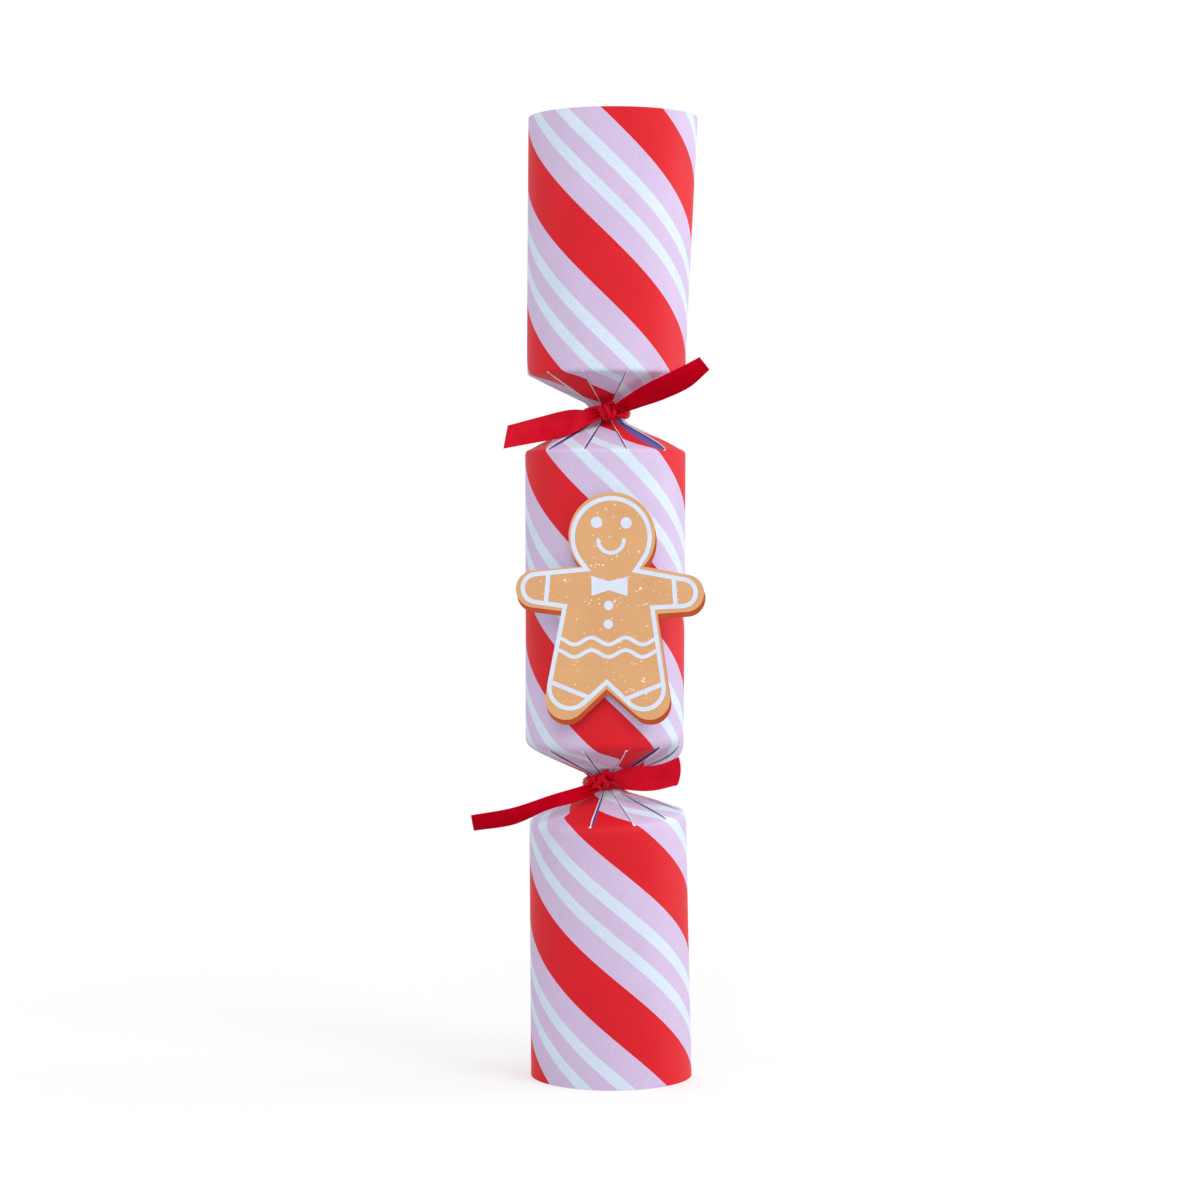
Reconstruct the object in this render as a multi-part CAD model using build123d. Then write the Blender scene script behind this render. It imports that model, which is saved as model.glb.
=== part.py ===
from build123d import *
import math
import os

# A pull-apart table cracker, standing on the rim of its lower end.
# Z runs along the tube, up. The front, with the gingerbread figure, faces -Y.
# All sizes are in millimetres.

# Printed card: one die-cut blank, rolled into a tube and gathered at two necks
CARD = 0.3
BARREL_D = 51.0
END_LENGTH = 80.0
CENTRE_LENGTH = 92.0
NECK_LENGTH = 24.0
LAP_WIDTH = 12.0
LAP_ANGLE = 30.0

# Neck strips between the slits of the blank
STRIPS = 12
SLIT = 0.6
WAIST_R = 5.0
WAIST_BEND_R = 4.0
LAYER_GAP = 0.1
TEAR_GAP = 0.1

# Satin ribbon tied round each neck
RIBBON_W = 8.0
RIBBON_T = 0.4
GATHERED_W = 4.0
LOOP_HEIGHT = 3.0
LOOP_T = 1.0
LOOP_CLEARANCE = 0.2
KNOT_WIDTH = 11.5
KNOT_HEIGHT = 6.6
KNOT_TURN_R = 1.5
KNOT_TURN_TILT = 22.0
KNOT_SINK = 0.4
KNOT_TILTS = {"upper": -18.0, "lower": -24.0}

# Ribbon tails as seen from the front, from the middle of the knot: start, middle and tip.
# A tail also leans out to the front by an angle about the tube.
UPPER_LEFT_TAIL = ((-3.0, 0.0), (-18.7, -4.8), (-31.2, -8.6))
UPPER_RIGHT_TAIL = ((3.0, 1.2), (16.6, 5.4), (30.2, 14.2))
LOWER_LEFT_TAIL = ((-3.0, -0.8), (-23.3, -7.8), (-41.4, -11.9))
LOWER_RIGHT_TAIL = ((2.0, 2.6), (11.9, 1.9), (22.5, 4.1))
UPPER_LEFT_LEAN = 4.0
UPPER_RIGHT_LEAN = 32.0
LOWER_LEFT_LEAN = 20.0
LOWER_RIGHT_LEAN = 18.0

# Gingerbread figure on foam pads
FIGURE_T = 0.6
FIGURE_X = 1.0
FIGURE_Z = 147.6
EDGE_DROP = 1.5
EDGE_SHIFT = 0.4
HEAD_R = 13.2
HEAD_X = 0.6
HEAD_Z = 21.4
HAND_R = 5.6
HAND_X = 23.0
LEFT_HAND_Z = 5.6
RIGHT_HAND_Z = 4.3
SHOULDER_X = 11.0
SHOULDER_Z = 12.2
UNDERARM_X = 14.4
LEFT_UNDERARM_Z = -1.1
RIGHT_UNDERARM_Z = -1.9
FOOT_R = 6.3
LEFT_FOOT_X = -13.4
RIGHT_FOOT_X = 12.0
FOOT_Z = -27.5
CROTCH_X = -1.0
CROTCH_Z = -24.5
PAD_T = 2.0
PAD_WIDTH = 14.0
PAD_HEIGHT = 10.0
PAD_PITCH = 26.0
GLUE_LINE = 0.02

# Friction snap: two card strips that meet inside a paper band
SNAP_W = 6.5
SNAP_T = 0.35
SNAP_OVERLAP = 28.0
SNAP_CHARGE_T = 0.15
SNAP_CHARGE_W = 4.5
SNAP_CHARGE_LENGTH = 10.0
SNAP_GAP = 0.2
SNAP_BAND_T = 0.15
SNAP_BAND_LENGTH = 24.0
SNAP_BAND_CLEARANCE = 0.12
SNAP_END_MARGIN = 8.0
SNAP_GLUED_LENGTH = 34.0
SNAP_STRAIGHT = 14.0
SNAP_BEND_R = 18.0
WALL_CLEARANCE = 0.05
GLUE_WIDTH = 5.0
GLUE_LENGTH = 14.0

# Loose contents of the centre barrel
SEAT_GAP = 0.3
HAT_WIDTH = 30.0
HAT_HEIGHT = 62.0
HAT_T = 3.0
HAT_POINT_HEIGHT = 9.0
HAT_POINTS = 3
HAT_Y = 9.0
MOTTO_WIDTH = 20.0
MOTTO_HEIGHT = 52.0
MOTTO_T = 0.4
MOTTO_Y = 4.5
TOP_DISC_R = 11.0
TOP_DISC_T = 5.0
TOP_TAPER = 8.0
TOP_PEG_R = 1.6
TOP_PEG_LENGTH = 32.0
TOP_TIP_LENGTH = 2.4
TOP_Y = -12.6
TOP_FIT = 0.05

# Places worked out from the sizes above
BARREL_R = BARREL_D / 2
BORE_R = BARREL_R - CARD
HALF_NECK = NECK_LENGTH / 2
LOWER_WAIST_Z = END_LENGTH + HALF_NECK
CENTRE_BASE_Z = END_LENGTH + NECK_LENGTH
CENTRE_TOP_Z = CENTRE_BASE_Z + CENTRE_LENGTH
UPPER_WAIST_Z = CENTRE_TOP_Z + HALF_NECK
TOP_BASE_Z = CENTRE_TOP_Z + NECK_LENGTH
TOTAL_LENGTH = TOP_BASE_Z + END_LENGTH
MIDDLE_Z = TOTAL_LENGTH / 2

# Slope of a neck strip, measured from the axis: a straight run from the score,
# tangent to the bend at the waist
SCORE_R = BARREL_R - CARD / 2
RUN_DX = SCORE_R - WAIST_R - WAIST_BEND_R
RUN_LENGTH = math.sqrt(RUN_DX**2 + HALF_NECK**2 - WAIST_BEND_R**2)
RUN_SLOPE = math.atan2(RUN_DX, HALF_NECK) + math.atan2(WAIST_BEND_R, RUN_LENGTH)
STRIP_ANGLE = 2 * math.pi / STRIPS
STRIP_WIDTH = STRIP_ANGLE * SCORE_R - SLIT


def layer_step(slope):
    """Radial step from one shingled strip to the next where the strip leans by slope."""
    return CARD / math.cos(slope) + LAYER_GAP


def strip_section(height, radius, slope, lift):
    """Level cut through one strip, facing the front. lift is 0 at the score, where it lies flush."""
    thickness = CARD / math.cos(slope)
    rise = lift * layer_step(slope) / STRIP_ANGLE
    half = STRIP_WIDTH / radius / 2

    def place(angle, offset):
        reach = radius + offset + rise * angle
        return (reach * math.sin(angle), -reach * math.cos(angle), height)

    angles = (-half, 0.0, half)
    outer = [place(angle, thickness / 2) for angle in angles]
    inner = [place(angle, -thickness / 2) for angle in angles]
    edges = [
        ThreePointArc(*outer),
        Line(outer[2], inner[2]),
        ThreePointArc(*reversed(inner)),
        Line(inner[0], outer[0]),
    ]
    return Face(Wire(edges))


def neck_strips(score_z, waist_z):
    """The ring of strips from a score line to the tear line at the waist, each over the next."""
    way = math.copysign(1.0, score_z - waist_z)
    parted_r = STRIP_WIDTH / STRIP_ANGLE
    parted_drop = (SCORE_R - parted_r) / math.tan(RUN_SLOPE)
    leaning = CARD / math.cos(RUN_SLOPE) / 2

    def bend_at(slope):
        height = waist_z + way * WAIST_BEND_R * math.sin(slope)
        return height, WAIST_R + WAIST_BEND_R * (1 - math.cos(slope)), slope, 1.0

    stations = [
        (score_z, BARREL_R - leaning, RUN_SLOPE, 0.0),
        (score_z - way * parted_drop, parted_r - leaning, RUN_SLOPE, 1.0),
        bend_at(RUN_SLOPE),
        bend_at(RUN_SLOPE / 2),
        (waist_z + way * TEAR_GAP / 2, WAIST_R, 0.0, 1.0),
    ]
    strip = loft([strip_section(*station) for station in stations], ruled=True)
    turns = [math.degrees(STRIP_ANGLE) * i for i in range(STRIPS)]
    return Compound([(Rot(0, 0, turn) * strip).solid() for turn in turns])


def neck_reach(rise):
    """Largest radius of the gathered strips at a height above or below the waist, within the bend."""
    slope = math.asin(rise / WAIST_BEND_R)
    radius = WAIST_R + WAIST_BEND_R * (1 - math.cos(slope))
    half = STRIP_WIDTH / radius / 2
    return radius + layer_step(slope) * half / STRIP_ANGLE + CARD / math.cos(slope) / 2


def funnel_height(radius):
    """Height at which something of that radius rests inside the lower neck of the centre barrel."""
    slope_inset = layer_step(RUN_SLOPE) * STRIP_WIDTH / radius / 2 / STRIP_ANGLE
    wall = CARD / math.cos(RUN_SLOPE) + slope_inset
    return CENTRE_BASE_Z - (SCORE_R - radius - wall) / math.tan(RUN_SLOPE) + SEAT_GAP


def barrel(base_z, length):
    """A rolled tube of card with the glued lap of its seam inside."""
    ring = Circle(BARREL_R) - Circle(BORE_R)
    lap_half = math.degrees(LAP_WIDTH / BORE_R / 2)
    corners = [Vector(BARREL_R, 0).rotate(Axis.Z, side * lap_half) for side in (-1, 1)]
    lap = (Circle(BORE_R) - Circle(BORE_R - CARD)) & make_face(
        Polyline((0, 0), tuple(corners[0])[:2], tuple(corners[1])[:2], close=True)
    )
    section = ring + Rot(0, 0, LAP_ANGLE) * lap
    return Pos(0, 0, base_z) * extrude(section, length)


def ribbon_loop(waist_z):
    """The gathered ribbon round the waist of a neck."""
    inner = neck_reach(LOOP_HEIGHT / 2) + LOOP_CLEARANCE
    section = Pos(inner + LOOP_T / 2, 0) * Rectangle(LOOP_T, LOOP_HEIGHT)
    section = fillet(section.vertices(), LOOP_T * 0.45)
    return Pos(0, 0, waist_z) * revolve(Plane.XZ * section, Axis.Z)


def knot_front():
    """How far the middle of a knot stands in front of the axis."""
    return neck_reach(LOOP_HEIGHT / 2) + LOOP_CLEARANCE + LOOP_T + KNOT_HEIGHT / 2 - KNOT_SINK


def ribbon_knot(waist_z, loop, tilt):
    """An overhand knot on the front of the loop: a drawn-in core with two turns crossing it."""
    half = EllipticalCenterArc((0, 0), KNOT_WIDTH / 2, KNOT_HEIGHT / 2 - KNOT_TURN_R / 3, arc_size=180)
    core = revolve(make_face([half, Line(half @ 1, half @ 0)]), Axis.X)
    turn = Rot(0, 90, 0) * Torus(KNOT_HEIGHT / 2 - KNOT_TURN_R, KNOT_TURN_R)
    for side in (-1, 1):
        core += Pos(side * KNOT_WIDTH / 6, 0, 0) * Rot(0, side * KNOT_TURN_TILT, 0) * turn
    knot = Pos(0, -knot_front(), waist_z) * Rot(0, tilt, 0) * core
    return knot - loop


def ribbon_tail(waist_z, route, lean, knot):
    """One flat end of the ribbon, drawn as seen from the front and leant out to the front."""
    stretch = 1 / math.cos(math.radians(lean))
    line = ThreePointArc(*[(x * stretch, height) for x, height in route])
    edges = []
    for side in (-90, 90):
        points = []
        for along, width in ((0, GATHERED_W), (0.5, RIBBON_W), (1, RIBBON_W)):
            across = (line % along).rotate(Axis.Z, side)
            points.append(line @ along + across * width / 2)
        edges.append(ThreePointArc(*points))
    below, above = edges
    outline = [below, Line(below @ 1, above @ 1), above, Line(above @ 0, below @ 0)]
    tail = extrude(Plane.XZ * make_face(outline), RIBBON_T / 2, both=True)
    turn = -math.copysign(lean, route[2][0])
    return Pos(0, -knot_front(), waist_z) * Rot(0, 0, turn) * tail - knot


def ribbon(name, waist_z, tails):
    """Loop, knot and two tails of one ribbon, as named nodes."""
    loop = ribbon_loop(waist_z)
    knot = ribbon_knot(waist_z, loop, KNOT_TILTS[name])
    nodes = {f"{name}_ribbon_loop": loop, f"{name}_ribbon_knot": knot}
    for side, (route, lean) in tails.items():
        nodes[f"{name}_ribbon_tail_{side}"] = ribbon_tail(waist_z, route, lean, knot)
    return nodes


def limb(end, radius, root_a, root_b):
    """An arm or leg of the figure: a round end, drawn in straight to two points of the body."""
    round_end = Pos(*end) * CenterArc((0, 0), radius, 0, 360)
    return make_hull([*round_end.edges(), Line(root_a, root_b)])


def figure_outline():
    """The gingerbread figure, seen from the front, about its middle."""
    left_shoulder, right_shoulder = (-SHOULDER_X, SHOULDER_Z), (SHOULDER_X, SHOULDER_Z)
    left_underarm, right_underarm = (-UNDERARM_X, LEFT_UNDERARM_Z), (UNDERARM_X, RIGHT_UNDERARM_Z)
    crotch = (CROTCH_X, CROTCH_Z)
    outline = Pos(HEAD_X, HEAD_Z) * Circle(HEAD_R)
    outline += make_face(
        Polyline(left_shoulder, right_shoulder, right_underarm, crotch, left_underarm, close=True)
    )
    outline += limb((-HAND_X, LEFT_HAND_Z), HAND_R, left_shoulder, left_underarm)
    outline += limb((HAND_X, RIGHT_HAND_Z), HAND_R, right_shoulder, right_underarm)
    outline += limb((LEFT_FOOT_X, FOOT_Z), FOOT_R, left_underarm, crotch)
    outline += limb((RIGHT_FOOT_X, FOOT_Z), FOOT_R, right_underarm, crotch)
    return outline


def gingerbread_card():
    """The die-cut card, whose outline takes in the printed lower edge of the figure."""
    outline = figure_outline()
    outline += Pos(EDGE_SHIFT, -EDGE_DROP) * outline
    face = Plane.XZ.offset(BARREL_R + PAD_T) * Pos(FIGURE_X, FIGURE_Z) * outline
    return extrude(face, FIGURE_T)


def foam_pads():
    """Two adhesive foam pads, flat under the figure and shaped to the tube behind."""
    tube = Cylinder(BARREL_R + GLUE_LINE, TOTAL_LENGTH, align=(Align.CENTER, Align.CENTER, Align.MIN))
    chord = math.sqrt(BARREL_R**2 - (PAD_WIDTH / 2) ** 2)
    depth = BARREL_R + PAD_T - chord
    pads = []
    for side in (-1, 1):
        middle_z = FIGURE_Z + side * PAD_PITCH / 2
        block = Pos(FIGURE_X, -BARREL_R - PAD_T + depth / 2, middle_z) * Box(PAD_WIDTH, depth, PAD_HEIGHT)
        pads.append((block - tube).solid())
    return Compound(pads)


def snap_strip(way):
    """One half of the snap: from the overlap, through a neck, to the back wall of an end barrel."""
    face_y = -way * (SNAP_GAP + SNAP_T) / 2
    wall_y = math.sqrt((BORE_R - WALL_CLEARANCE) ** 2 - (SNAP_W / 2) ** 2) - SNAP_T / 2
    reach = TOTAL_LENGTH / 2 - SNAP_END_MARGIN
    points = [
        (face_y, -SNAP_OVERLAP / 2),
        (face_y, CENTRE_LENGTH / 2 + HALF_NECK + SNAP_STRAIGHT),
        (wall_y, reach - SNAP_GLUED_LENGTH),
        (wall_y, reach),
    ]
    route = FilletPolyline(*[(y, MIDDLE_Z + way * z) for y, z in points], radius=SNAP_BEND_R)
    return extrude(Plane.YZ * trace(route, SNAP_T), SNAP_W / 2, both=True)


def snap_glue(way):
    """The line of glue that holds a snap strip to the wall of an end barrel."""
    back_y = math.sqrt((BORE_R - WALL_CLEARANCE) ** 2 - (SNAP_W / 2) ** 2)
    middle_z = MIDDLE_Z + way * (TOTAL_LENGTH / 2 - SNAP_END_MARGIN - GLUE_LENGTH / 2)
    block = Pos(0, back_y + CARD, middle_z) * Box(GLUE_WIDTH, 2 * CARD, GLUE_LENGTH)
    return block & Pos(0, 0, middle_z) * Cylinder(BORE_R - GLUE_LINE, GLUE_LENGTH)


def snap_charge():
    """The friction composition on the inner face of the lower strip."""
    middle_y = SNAP_GAP / 2 - SNAP_CHARGE_T / 2
    return Pos(0, middle_y, MIDDLE_Z) * Box(SNAP_CHARGE_W, SNAP_CHARGE_T, SNAP_CHARGE_LENGTH)


def snap_band():
    """The paper band round the overlap of the two strips."""
    inner_w = SNAP_W + 2 * SNAP_BAND_CLEARANCE
    inner_t = SNAP_GAP + 2 * SNAP_T + 2 * SNAP_BAND_CLEARANCE
    section = Rectangle(inner_w + 2 * SNAP_BAND_T, inner_t + 2 * SNAP_BAND_T)
    section -= Rectangle(inner_w, inner_t)
    return Pos(0, 0, MIDDLE_Z) * extrude(section, SNAP_BAND_LENGTH / 2, both=True)


def paper_hat():
    """The tissue crown, folded flat, with its points up."""
    half = HAT_WIDTH / 2
    step = HAT_WIDTH / HAT_POINTS
    outline = [(-half, 0), (half, 0), (half, HAT_HEIGHT)]
    for i in range(HAT_POINTS):
        valley = half - (i + 1) * step
        outline += [(valley + step / 2, HAT_HEIGHT + HAT_POINT_HEIGHT), (valley, HAT_HEIGHT)]
    corner_r = math.hypot(half, HAT_Y + HAT_T)
    face = Plane.XZ.offset(-HAT_Y) * Pos(0, funnel_height(corner_r)) * make_face(Polyline(*outline, close=True))
    return extrude(face, -HAT_T)


def motto_slip():
    """The motto: one slip of paper, folded once."""
    corner_r = math.hypot(MOTTO_WIDTH / 2, MOTTO_Y + MOTTO_T)
    base_z = funnel_height(corner_r)
    folded = Box(MOTTO_WIDTH, MOTTO_T, MOTTO_HEIGHT, align=(Align.CENTER, Align.MIN, Align.MIN))
    leaf = MOTTO_T / 3
    opening = Pos(0, leaf, leaf) * Box(
        MOTTO_WIDTH, leaf, MOTTO_HEIGHT, align=(Align.CENTER, Align.MIN, Align.MIN)
    )
    return Pos(0, MOTTO_Y, base_z) * (folded - opening)


def spinning_top():
    """The gift: a turned disc and the peg pressed through it."""
    tip_z = funnel_height(abs(TOP_Y))
    disc_z = TOP_TIP_LENGTH + TOP_TAPER
    place = Pos(0, TOP_Y, tip_z)
    bore = TOP_PEG_R + TOP_FIT
    disc = make_face(
        Polyline(
            (bore, TOP_TIP_LENGTH),
            (2 * TOP_PEG_R, TOP_TIP_LENGTH),
            (TOP_DISC_R, disc_z),
            (TOP_DISC_R, disc_z + TOP_DISC_T),
            (bore, disc_z + TOP_DISC_T),
            close=True,
        )
    )
    peg = make_face(
        Polyline(
            (0, 0),
            (TOP_PEG_R / 4, 0),
            (TOP_PEG_R, TOP_TIP_LENGTH),
            (TOP_PEG_R, TOP_PEG_LENGTH),
            (0, TOP_PEG_LENGTH),
            close=True,
        )
    )
    turned = [place * revolve(Plane.XZ * face, Axis.Z) for face in (disc, peg)]
    return dict(zip(("gift_top_disc", "gift_top_peg"), turned))


UPPER_TAILS = {"left": (UPPER_LEFT_TAIL, UPPER_LEFT_LEAN), "right": (UPPER_RIGHT_TAIL, UPPER_RIGHT_LEAN)}
LOWER_TAILS = {"left": (LOWER_LEFT_TAIL, LOWER_LEFT_LEAN), "right": (LOWER_RIGHT_TAIL, LOWER_RIGHT_LEAN)}

nodes = {
    "bottom_barrel": barrel(0, END_LENGTH),
    "bottom_neck_strips": neck_strips(END_LENGTH, LOWER_WAIST_Z),
    "centre_lower_strips": neck_strips(CENTRE_BASE_Z, LOWER_WAIST_Z),
    "centre_barrel": barrel(CENTRE_BASE_Z, CENTRE_LENGTH),
    "centre_upper_strips": neck_strips(CENTRE_TOP_Z, UPPER_WAIST_Z),
    "top_neck_strips": neck_strips(TOP_BASE_Z, UPPER_WAIST_Z),
    "top_barrel": barrel(TOP_BASE_Z, END_LENGTH),
    **ribbon("upper", UPPER_WAIST_Z, UPPER_TAILS),
    **ribbon("lower", LOWER_WAIST_Z, LOWER_TAILS),
    "gingerbread_card": gingerbread_card(),
    "figure_foam_pads": foam_pads(),
    "snap_strip_top": snap_strip(1),
    "snap_strip_bottom": snap_strip(-1),
    "snap_glue_top": snap_glue(1),
    "snap_glue_bottom": snap_glue(-1),
    "snap_charge": snap_charge(),
    "snap_band": snap_band(),
    "paper_hat": paper_hat(),
    "motto_slip": motto_slip(),
    **spinning_top(),
}

os.makedirs("parts", exist_ok=True)
for node, shape in nodes.items():
    export_step(shape, f"parts/{node}.step")
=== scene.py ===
import math
import random
from math import atan2, cos, pi, radians, sin, sqrt, tan

import bpy
from mathutils import Matrix, Vector, geometry, noise


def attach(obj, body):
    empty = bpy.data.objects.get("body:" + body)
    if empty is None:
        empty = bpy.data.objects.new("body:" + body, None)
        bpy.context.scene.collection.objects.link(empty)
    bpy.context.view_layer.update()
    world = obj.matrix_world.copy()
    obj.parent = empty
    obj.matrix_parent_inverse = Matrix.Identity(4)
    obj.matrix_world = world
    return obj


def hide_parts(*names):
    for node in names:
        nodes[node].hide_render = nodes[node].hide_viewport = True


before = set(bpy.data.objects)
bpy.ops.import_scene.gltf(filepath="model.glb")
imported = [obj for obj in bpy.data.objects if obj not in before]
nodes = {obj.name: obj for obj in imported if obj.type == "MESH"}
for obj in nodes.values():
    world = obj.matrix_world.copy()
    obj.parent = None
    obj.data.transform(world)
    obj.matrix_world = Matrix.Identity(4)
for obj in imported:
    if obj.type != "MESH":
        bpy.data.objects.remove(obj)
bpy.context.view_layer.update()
scene = bpy.context.scene
scene.view_settings.view_transform = "Standard"

# Sizes in millimetres, in the frame of the part: Z along the tube, front towards -Y.
# Angles round the tube run from the front towards +X.
MM = 0.001
MAP_UNIT = 100.0
CARD = 0.3
BARREL_R = 25.5
END_LENGTH = 80.0
CENTRE_LENGTH = 92.0
HALF_NECK = 12.0
WAIST_R = 5.15
WAIST_BEND_R = 4.0
LOWER_WAIST_Z = END_LENGTH + HALF_NECK
CENTRE_Z = LOWER_WAIST_Z + HALF_NECK
CENTRE_TOP_Z = CENTRE_Z + CENTRE_LENGTH
UPPER_WAIST_Z = CENTRE_TOP_Z + HALF_NECK
TOP_Z = UPPER_WAIST_Z + HALF_NECK
TOTAL_Z = TOP_Z + END_LENGTH
STRIPS = 12
STRIP_COLUMNS = 12
FLAP_COLUMNS = 11
STRIP_DEGREES = 360 / STRIPS
COLUMN_DEGREES = STRIP_DEGREES / STRIP_COLUMNS
SEAM_DEGREES = 135.0

# The rolled card by height: radius at the front and back, radius at the sides, and lean towards +X
FRONT_RADII = ((0, 25.6), (80, 25.5), (220, 25.5), (300, 25.6))
SIDE_RADII = ((0, 25.3), (80, 24.65), (104, 24.85), (196, 25.1), (220, 24.7), (300, 26.4))
LEAN = ((0, 1.54), (80, 0.4), (92, 0.0), (104, -0.6), (196, -0.35), (208, 0.0), (226, 0.0), (300, 2.03))

# How much longer the flat blank is than the part, at each neck
NECK_EXTRA = 22.2

# Printed stripes: where each ink starts in one period
STRIPES = (
    (0.0, "red"), (0.347, "lilac"), (0.526, "white"),
    (0.614, "lilac"), (0.740, "white"), (0.828, "lilac"),
)

# Satin ribbon
RIBBON_W = 8.0
RIBBON_T = 0.28
RIB_SPACING = 0.42
WEFT_SPACING = 0.62
KNOT_Y = -10.5
LOOP_R = 6.6
LOOP_HALF_T = 0.95
LOOP_HALF_HEIGHT = 1.55
PLEATS = 9
PLEAT_DEPTH = 0.2

# Gingerbread figure
FIGURE_X = 1.0
FIGURE_Z = 147.95
FIGURE_STRETCH = 1.011
CARD_BACK_Y = -27.5
CARD_FRONT_Y = -28.1
CARD_EASE = 0.07
ICING_W = 1.35
ARC_STEP_DEGREES = 5
CAP_STEPS = 8


def rgb(*levels):
    """A display colour from 0 to 255 as the linear colour that a shader takes."""
    shares = [level / 255 for level in levels]
    return (*(s / 12.92 if s <= 0.04045 else ((s + 0.055) / 1.055) ** 2.4 for s in shares), 1.0)


def grey(level):
    return (level, level, level, 1.0)


def between(rows, place):
    """The value at a place in rows of place and value, straight between the rows."""
    for (start, first), (end, second) in zip(rows, rows[1:]):
        if place <= end:
            return first + (second - first) * max(0.0, (place - start) / (end - start))
    return rows[-1][1]


def smooth_step(low, high, value):
    """Rises smoothly from 0 at low to 1 at high."""
    t = min(1.0, max(0.0, (value - low) / (high - low)))
    return t * t * (3 - 2 * t)


def spaced(low, high, count):
    """Values from low to high in even steps."""
    return [low + (high - low) * i / count for i in range(count + 1)]


def shifted(ring):
    """A ring that starts one place later."""
    return [*ring[1:], ring[0]]


def hump(rise, full, fade, end, value):
    """Rises smoothly from 0 to 1, and falls to 0 again."""
    return smooth_step(rise, full, value) * (1 - smooth_step(fade, end, value))


# Materials


class Nodes:
    """The shader nodes of a material or of the world."""

    def __init__(self, tree):
        self.tree = tree

    def give(self, node, values):
        """Sets inputs of a node, each to a fixed value or to an output."""
        for key, value in values.items():
            if isinstance(value, bpy.types.NodeSocket):
                self.tree.links.new(value, node.inputs[key])
            else:
                node.inputs[key].default_value = value

    def add(self, kind, values=None, **settings):
        """A node with its settings and inputs."""
        node = self.tree.nodes.new(kind)
        for key, value in settings.items():
            setattr(node, key, value)
        self.give(node, values or {})
        return node

    def compute(self, operation, *values):
        """A math node whose inputs are numbers or outputs."""
        return self.add("ShaderNodeMath", dict(enumerate(values)), operation=operation).outputs[0]

    def place(self, stretch=(1, 1, 1)):
        """Places on the object in metres, stretched per axis."""
        where = self.add("ShaderNodeTexCoord").outputs["Object"]
        return self.add("ShaderNodeMapping", {"Vector": where, "Scale": stretch}).outputs["Vector"]

    def flat_map(self, name):
        """Places across and along a flat map."""
        where = self.add("ShaderNodeUVMap", uv_map=name).outputs["UV"]
        parts = self.add("ShaderNodeSeparateXYZ", {"Vector": where})
        return parts.outputs["X"], parts.outputs["Y"]

    def noise(self, size, detail=3.0, roughness=0.5, where=None):
        """Noise with features of about that many millimetres."""
        values = {"Vector": where or self.place(), "Scale": 1 / (size * MM)}
        values |= {"Detail": detail, "Roughness": roughness}
        return self.add("ShaderNodeTexNoise", values).outputs["Fac"]

    def ramp(self, value, stops, interpolation="LINEAR"):
        """Colours along a value; stops are place and colour."""
        node = self.add("ShaderNodeValToRGB", {"Fac": value})
        node.color_ramp.interpolation = interpolation
        elements = node.color_ramp.elements
        while len(elements) < len(stops):
            elements.new(1.0)
        for element, (position, colour) in zip(elements, stops):
            element.position = position
            element.color = colour
        return node.outputs["Color"]

    def greys(self, value, *stops):
        """Greys along a value; stops are place and level."""
        return self.ramp(value, [(position, grey(level)) for position, level in stops])

    def mix(self, factor, first, second, blend="MIX"):
        """Mixes two colours, each a colour or an output."""
        node = self.add("ShaderNodeMix", data_type="RGBA", blend_type=blend)
        used = [i for i, socket in enumerate(node.inputs) if socket.enabled]
        self.give(node, dict(zip(used, (factor, first, second))))
        return next(socket for socket in node.outputs if socket.enabled)

    def times(self, first, second):
        """Two colours multiplied."""
        return self.mix(1.0, first, second, "MULTIPLY")

    def shown(self):
        """1 for rays from the camera, straight or by gloss or glass, and 0 for others."""
        rays = self.add("ShaderNodeLightPath").outputs
        found = rays["Is Camera Ray"]
        for name in ("Is Glossy Ray", "Is Transmission Ray"):
            found = self.compute("MAXIMUM", found, rays[name])
        return found

    def choose(self, factor, first, second, output):
        """Sends the first or the second shader to the output, by a factor."""
        values = {0: factor, 1: first.outputs[0], 2: second.outputs[0]}
        chosen = self.add("ShaderNodeMixShader", values).outputs[0]
        self.give(self.tree.nodes[output], {"Surface": chosen})


class Finish(Nodes):
    """A procedural material under construction."""

    def __init__(self, name, specular, values=None):
        self.material = bpy.data.materials.new(name)
        self.material.use_nodes = True
        super().__init__(self.material.node_tree)
        self.shader = self.tree.nodes["Principled BSDF"]
        self.give(self.shader, {"Specular IOR Level": specular, **(values or {})})

    def done(self, colour, height, roughness, strength, depth, shade=None, gloss=None):
        """The material; a height gives it shade, roughness between limits and relief in millimetres."""
        low, high = roughness
        limits = self.add("ShaderNodeMapRange", {"Value": gloss or height, "To Min": low, "To Max": high})
        relief = {"Height": height, "Strength": strength, "Distance": depth * MM}
        looks = {
            "Base Color": self.times(colour, self.greys(height, *shade)) if shade else colour,
            "Roughness": limits.outputs["Result"],
            "Normal": self.add("ShaderNodeBump", relief).outputs["Normal"],
        }
        self.give(self.shader, looks)
        return self.material


def printed_card():
    """Matt printed card: slanting stripes, ink mottle and paper tooth."""
    f = Finish("printed_card", 0.18)
    inks = {"red": rgb(218, 26, 40), "lilac": rgb(211, 191, 225), "white": rgb(215, 229, 246)}
    count = f.compute("FRACT", f.flat_map("Blank")[1])
    stripes = f.ramp(count, [(start, inks[ink]) for start, ink in STRIPES], "CONSTANT")
    mottle = f.greys(f.noise(9.0, 2.0), (0.3, 0.95), (0.7, 1.0))
    tooth = f.noise(0.35, 4.0, 0.6, f.place((1, 1, 0.35)))
    inked = f.times(stripes, mottle)
    return f.done(inked, tooth, (0.48, 0.62), 0.25, 0.03, ((0.35, 0.93), (0.62, 1.015)))


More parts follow.
